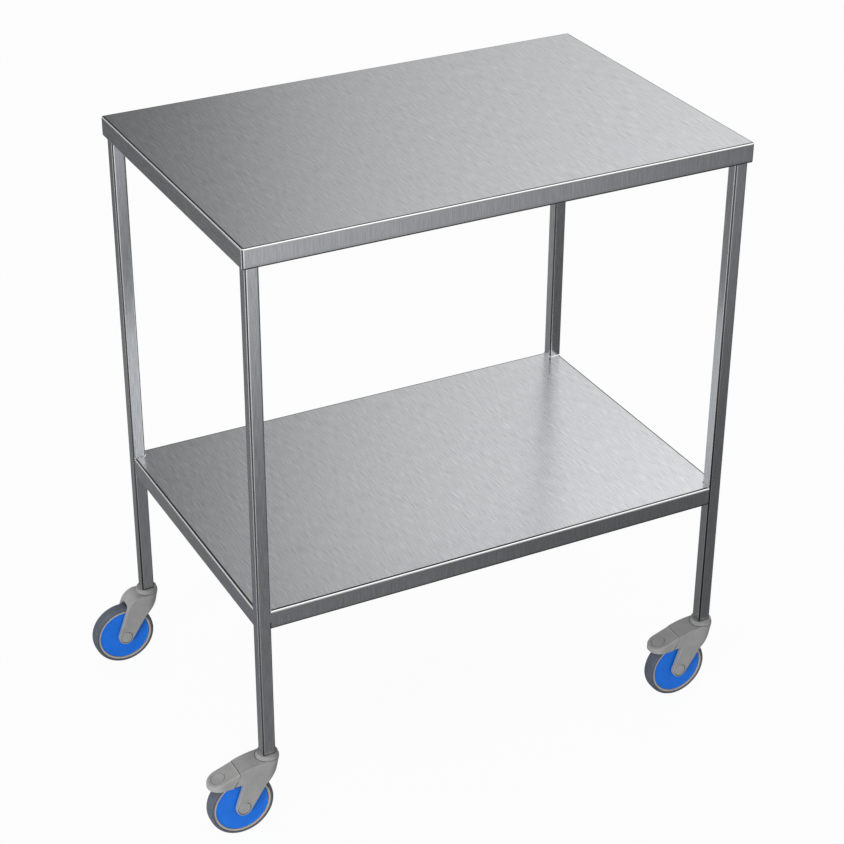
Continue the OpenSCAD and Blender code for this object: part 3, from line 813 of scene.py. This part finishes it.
# Wheels: a warm grey plastic rim with hub and web, a slate grey rubber tyre moulded round it, a
# blue disc snapped into each side, and a ball bearing pressed in from both sides.
rim_radius = 44.7
rim_half = 9.6
rim_foot = 43
tyre_seat = 7
cover_radius = 41.4
disc_seat = 7.6
disc_bore = 6.6
ring_inner = 37.7
hub_radius = 14
bearing_radius = 11
tread_half = 10.75
tread_depth = 4.8

rim_plastic = moulded("warm_grey_rim_plastic", (0.44, 0.385, 0.32, 1), (0.56, 0.49, 0.41, 1), 0.4, 8)
# the hub's bore, the bearing's seat, the hub, the web and the ring that carries the tyre
rim_profile = soften(mirrored([
    (5, 1.6), (bearing_radius, 1.6), (bearing_radius, disc_seat), (hub_radius, disc_seat), (hub_radius, 2),
    (ring_inner, 2), (ring_inner, disc_seat), (cover_radius, disc_seat), (cover_radius + 0.1, rim_half),
    (rim_radius, rim_half), (rim_radius, tyre_seat), (rim_foot, tyre_seat)]), 0.35, 3)

tyre_rubber, shade, surface = new_material("slate_rubber")
place = shade.make("ShaderNodeTexCoord", out="Object")
dust = shade.make("ShaderNodeTexNoise", None, {
    "Vector": place, "Scale": 90, "Detail": 5, "Roughness": 0.65})
pore = shade.make("ShaderNodeTexNoise", None, {"Vector": place, "Scale": 1800, "Detail": 3})
rubber_tone = dust.smooth(0.3, 0.75).blend((0.074, 0.088, 0.118, 1), (0.105, 0.123, 0.16, 1))
relief = shade.make("ShaderNodeBump", None, {"Strength": 0.5, "Distance": 2e-5, "Height": pore})
shade.feed(surface, {
    "Base Color": rubber_tone, "Roughness": 0.52 + (dust - 0.5) * 0.3, "Normal": relief})
# the tread's section is a quarter of a superellipse of power 3, from the tyre's middle to its side
turn = np.radians(np.linspace(0, 90, 11))
tread = np.column_stack([
    wheel_radius - tread_depth * (1 - np.cos(turn) ** (2 / 3)), tread_half * np.sin(turn) ** (2 / 3)])
tyre_profile = mirrored(np.concatenate([
    tread, [(44.95, 10.5), (rim_radius, 9.9), (rim_radius, tyre_seat), (rim_foot, tyre_seat)]]))[1:]

cover_plastic = moulded("blue_cover_plastic", (0.003, 0.160, 0.74, 1), (0.006, 0.188, 0.84, 1), 0.36, 5)
cover_profile = soften([
    (disc_bore, disc_seat), (37.3, disc_seat), (41.0, 8.2), (41.0, 8.8), (40.2, 9.7), (37.6, 9.05),
    (12.5, 9.0), (disc_bore, 9.0)],
    [0, 0.5, 0.3, 0.4, 0.5, 1.5, 0, 0.3], 4)

bearing_steel = plated("ground_bearing_steel", (0.55, 0.57, 0.60, 1), (0.70, 0.72, 0.75, 1), 0.24)
dress(["bearings_" + corner for corner in CORNERS], bearing_steel)
for corner in CORNERS:
    wheel = f"wheel_{corner}"
    centre = axle_place(corner)
    rim = add_mesh("rim_moulding_" + corner, *turned(rim_profile, centre, False, count=128))
    fit(rim, rim_plastic, wheel, "rim_plastic", "wheel_core_" + corner)
    tyre = add_mesh("tyre_moulding_" + corner, *turned(tyre_profile, centre, False, count=160))
    fit(tyre, tyre_rubber, wheel, "tyre_rubber", "tyre_" + corner)
    discs = add_mesh("cover_discs_" + corner, *both_sides(cover_profile, centre, True, 128))
    fit(discs, cover_plastic, wheel, "cover_plastic", "covers_" + corner)


# Brake pedals: a grey plastic shell with a round nose on each of the two near casters, hinged on
# two steel pins in the fork's ears. Its sloping top has a shallow round grip for the foot, and a
# black rubber pad under it stops the wheel.
nose_x = 0.7 - wheel_radius - trail
nose_z = 2 * wheel_radius - 1.6
split_x = -4.5 - trail
split_z = 2 * wheel_radius + 13.3
pedal_rise = (split_z - nose_z) / (split_x - nose_x)
split_gap = 0.3
arc_gap = 0.5
rim_height = 0.55
rim_width = 1.9
rim_slope = 0.9
rim_drop = 0.35
rim_edge = 0.4
shell = 2.5
pedal_top = 3
shoulder = 2.6
grip_x = -33 - trail
pin_reach = 17.4
pin_bore = 2.05


def pedal_points():
    """A shell carried round the pedal's outline, from the split along one side, round the nose
    and back. Its section runs from the middle line out over the top and the round shoulder, down
    the skirt, and back up and in on the inner side. The split end stops at the fork's arc."""
    nose = arc((0, 0), 1, 270, 90, 41)
    near_split = np.array([0, 0.35, 0.75, 1.15, 1.55, 2.2])
    ends = split_x - split_gap - near_split
    straight = np.concatenate([ends, np.linspace(ends[-1] - 2, nose_x + fork_half, 7)])
    spine_x = np.concatenate([straight[:-1], np.full(len(nose), straight[-1]), straight[-2::-1]])
    plain = len(straight) - 1
    side = np.concatenate([np.tile([0, -1], (plain, 1)), nose, np.tile([0, 1], (plain, 1))])
    turn = np.radians(np.linspace(0, 90, 7))
    flat = np.linspace(0, 1, 7)[:-1] * (fork_half - shoulder)
    over = np.concatenate([flat, fork_half - shoulder * (1 - np.sin(turn))])
    drop = np.concatenate([0 * flat, shoulder * (1 - np.cos(turn))])[:, None]
    back = np.linspace(1, 0, 4) * (fork_half - shell)
    spans = [over, np.full(6, fork_half), np.full(6, fork_half - shell), back]
    rows = np.split(np.arange(sum(map(len, spans))), np.cumsum([len(span) for span in spans])[:-1])
    out = np.concatenate(spans)[:, None]
    x = spine_x + out * side[:, 0]
    y = np.broadcast_to(out * side[:, 1], x.shape)
    top = nose_z + (x - nose_x) * pedal_rise
    low = np.linspace(0, 1, 7)[1:, None]
    # a low rim along the split, which keeps the shoe off the fork, with its last edge worn down
    rim = split_x - split_gap - x[rows[0]]
    rise = rim_height * np.clip((rim_width - rim) / rim_slope, 0, 1)
    rise = rise - rim_drop * np.clip((rim_edge - rim) / rim_edge, 0, 1)
    outer = top[rows[0]] + rise - drop
    down = outer[-1] + low * (skirt - outer[-1])
    inner_top = top[rows[2][:1]] - pedal_top
    up = skirt + np.linspace(0, 1, 6)[:, None] * (inner_top - skirt)
    inner = top[rows[3]] - pedal_top
    z = np.concatenate([outer, down, up, inner])
    arc_radius = gap_radius - arc_gap
    limit = pedal_middle[0] + np.sqrt(arc_radius ** 2 - np.minimum(z - pedal_middle[1], 0) ** 2)
    x = np.minimum(x, np.minimum(limit, split_x - split_gap))
    return np.stack([x, y, z], -1)


# the grip is a shallow dish, a parabola, inside a narrow groove
dish = np.linspace(0, 10, 6)
grip_profile = np.concatenate([
    np.column_stack([dish, 0.005 * dish ** 2 - 0.7]),
    [(10.3, -0.9), (11.0, -0.9), (11.3, -0.2), (11.4, 1.2), (0, 1.2)]])
pad_rubber, shade, surface = new_material("black_pad_rubber")
place = shade.make("ShaderNodeTexCoord", out="Object")
pore = shade.make("ShaderNodeTexNoise", None, {"Vector": place, "Scale": 1400, "Detail": 4})
relief = shade.make("ShaderNodeBump", None, {"Strength": 0.6, "Distance": 3e-5, "Height": pore})
shade.feed(surface, {"Base Color": pore.blend((0.02, 0.02, 0.02, 1), (0.05, 0.05, 0.05, 1)),
    "Roughness": 0.6 + (pore - 0.5) * 0.3, "Normal": relief})

points = pedal_points()
rows, columns = points.shape[:2]
ends = [[row * columns + column for row in range(rows)] for column in (0, columns - 1)]
pedal_faces = grid_faces(rows, columns, False, False) + ends
# the grip is cut square to the sloping top
tilt = math.atan(pedal_rise)
grip, grip_faces = turned(grip_profile, (0, 0, 0), True, False)
grip_z = nose_z + (grip_x - nose_x) * pedal_rise
tipped = np.stack([grip[:, 0] * math.cos(tilt) - grip[:, 2] * math.sin(tilt) + grip_x, grip[:, 1],
                   grip[:, 0] * math.sin(tilt) + grip[:, 2] * math.cos(tilt) + grip_z], -1)
pin_profile = mirrored([(0, pin_reach), (pin_bore, pin_reach)])
for corner in braked:
    place = swivel_place(corner)
    pedal = add_mesh("pedal_moulding_" + corner, points.reshape(-1, 3) + place, pedal_faces)
    pin_place = place + [pedal_pivot[0], 0, pedal_pivot[1]]
    carve(pedal, [add_mesh("grip", tipped + place, grip_faces),
                  add_mesh("pin_hole", *turned(pin_profile, pin_place, False, False, 32))])
    fit(pedal, housing_plastic, f"brake_{corner}", "housing_plastic", "pedal_" + corner)
    dress(["pedal_pins_" + corner], plated_steel)
    dress(["pad_" + corner], pad_rubber)
